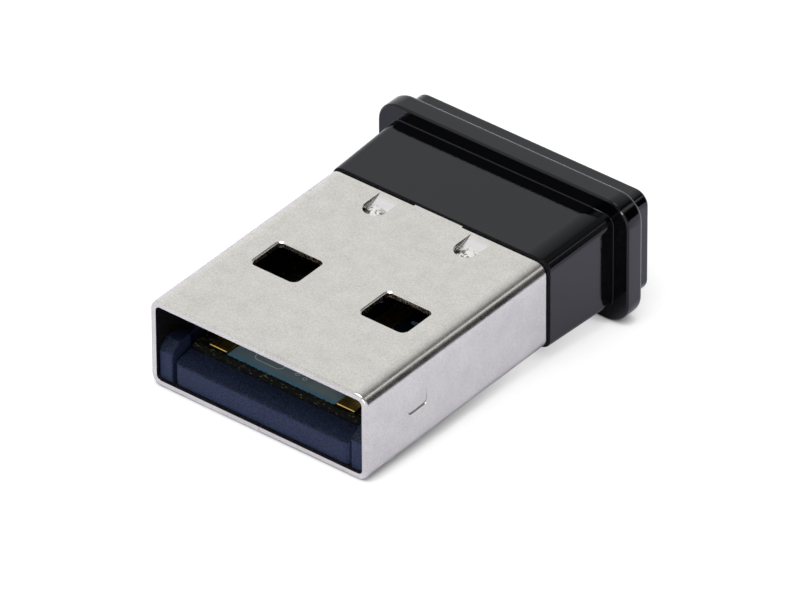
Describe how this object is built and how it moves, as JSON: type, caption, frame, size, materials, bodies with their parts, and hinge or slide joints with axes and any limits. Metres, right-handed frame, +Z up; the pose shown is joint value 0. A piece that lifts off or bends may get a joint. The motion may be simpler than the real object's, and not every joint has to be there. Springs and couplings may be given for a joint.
{
  "type": "usb bluetooth adapter",
  "caption": "Small USB-A Bluetooth adapter: a folded steel plug shell over a plastic tray and board with gold contacts, and a short glossy black head with a flange.",
  "frame": {"origin": "bottom centre of the whole adapter's bounding box, at the height of the flange's underside", "axes": "+Y from the plug's mouth to the head's end face, +Z up through the face with the locking dimples, X across the plug"},
  "size_m": [0.014, 0.0192, 0.0064],
  "materials": {
    "shell_steel": "nickel-plated, fine satin grain",
    "tray_plastic": "fine spark-eroded texture",
    "board_laminate": "blue-grey solder mask, bare edges",
    "contact_gold": "gold plated",
    "head_plastic": "polished black",
    "package_epoxy": "matt black moulding compound",
    "can_steel": "nickel-plated can",
    "antenna_copper": "gold-flashed copper",
    "chip_ceramic": "white ceramic with tinned ends",
    "ferrite_grey": "dark ferrite with tinned ends",
    "capacitor_ceramic": "tan ceramic with tinned ends",
    "resistor_black": "black glazed ceramic with tinned ends"
  },
  "bodies": {
    "root": {"plug_shell": "shell_steel", "board_tray": "tray_plastic", "circuit_board": "board_laminate", "outer_contact_left": "contact_gold", "inner_contact_left": "contact_gold", "inner_contact_right": "contact_gold", "outer_contact_right": "contact_gold", "head_housing": "head_plastic", "radio_chip": "package_epoxy", "crystal": "can_steel", "antenna_trace": "antenna_copper", "antenna_inductor": "chip_ceramic", "ferrite_bead": "ferrite_grey", "capacitor_1": "capacitor_ceramic", "capacitor_2": "capacitor_ceramic", "capacitor_3": "capacitor_ceramic", "capacitor_4": "capacitor_ceramic", "capacitor_5": "capacitor_ceramic", "capacitor_6": "capacitor_ceramic", "resistor_1": "resistor_black", "resistor_2": "resistor_black", "resistor_3": "resistor_black"}
  },
  "joints": []
}
